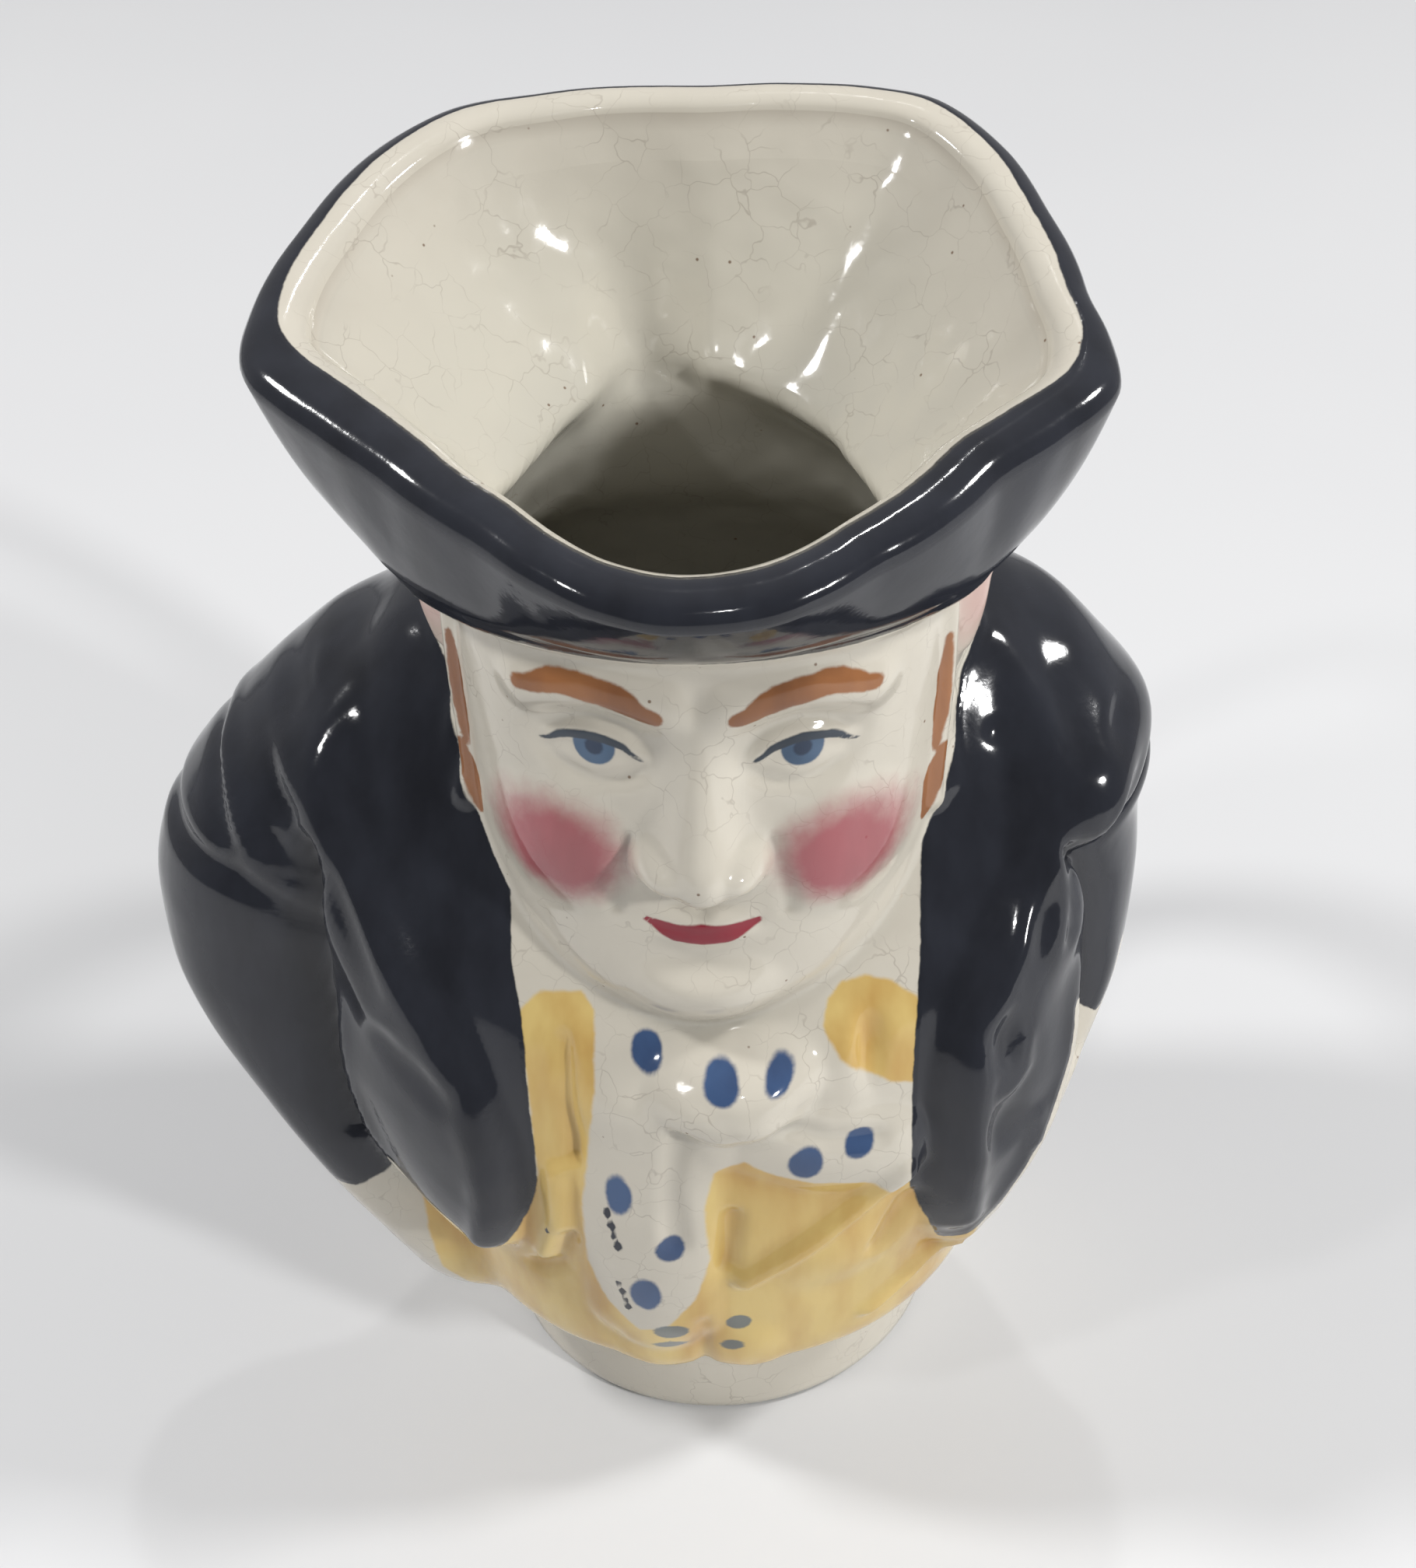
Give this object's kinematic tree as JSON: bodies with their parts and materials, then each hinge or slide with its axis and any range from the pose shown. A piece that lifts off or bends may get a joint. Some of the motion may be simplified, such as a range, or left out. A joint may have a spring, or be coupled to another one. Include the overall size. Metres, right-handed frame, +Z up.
{
  "type": "toby jug",
  "caption": "Small glazed earthenware character jug of a stout man in a cocked hat and coat, hollow, with its mouth in the hat and a loop handle behind.",
  "frame": {"origin": "centre of the flat underside of the foot", "axes": "+Z up through the middle of the foot; the face looks along -Y and the handle is on the +Y side; the figure's right arm, which stands out further, is on the -X side"},
  "size_m": [0.091, 0.087, 0.1188],
  "materials": {
    "glazed_earthenware": "cream glaze with fine crazing; hat and coat in black glaze, waistcoat in yellow, face and neckcloth painted under the glaze"
  },
  "bodies": {
    "root": {"toby_jug": "glazed_earthenware"}
  },
  "joints": []
}
